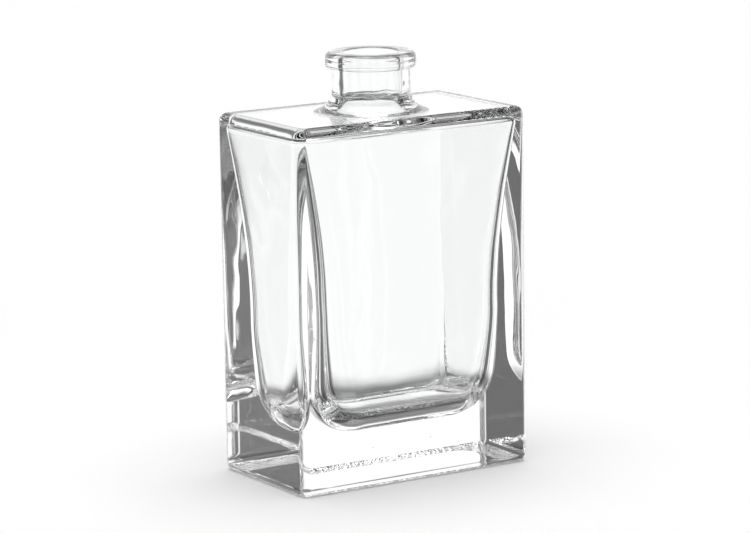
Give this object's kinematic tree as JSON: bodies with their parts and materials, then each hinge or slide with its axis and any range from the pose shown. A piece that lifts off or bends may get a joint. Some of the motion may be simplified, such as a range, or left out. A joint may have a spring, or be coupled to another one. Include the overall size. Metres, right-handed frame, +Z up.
{
  "type": "aftershave bottle",
  "caption": "Small empty rectangular bottle of clear glass with a thick base, a tapered cavity and a short round crimp neck for a pump.",
  "frame": {"origin": "centre of the underside, on the plane that the bottle stands on", "axes": "+X along the broad faces, +Y from the front broad face to the back one, +Z up through the neck"},
  "size_m": [0.0442, 0.0256, 0.0696],
  "materials": {
    "clear_glass": "colourless flint glass, fire polished, smooth and shiny"
  },
  "bodies": {
    "root": {"glass_bottle": "clear_glass"}
  },
  "joints": []
}
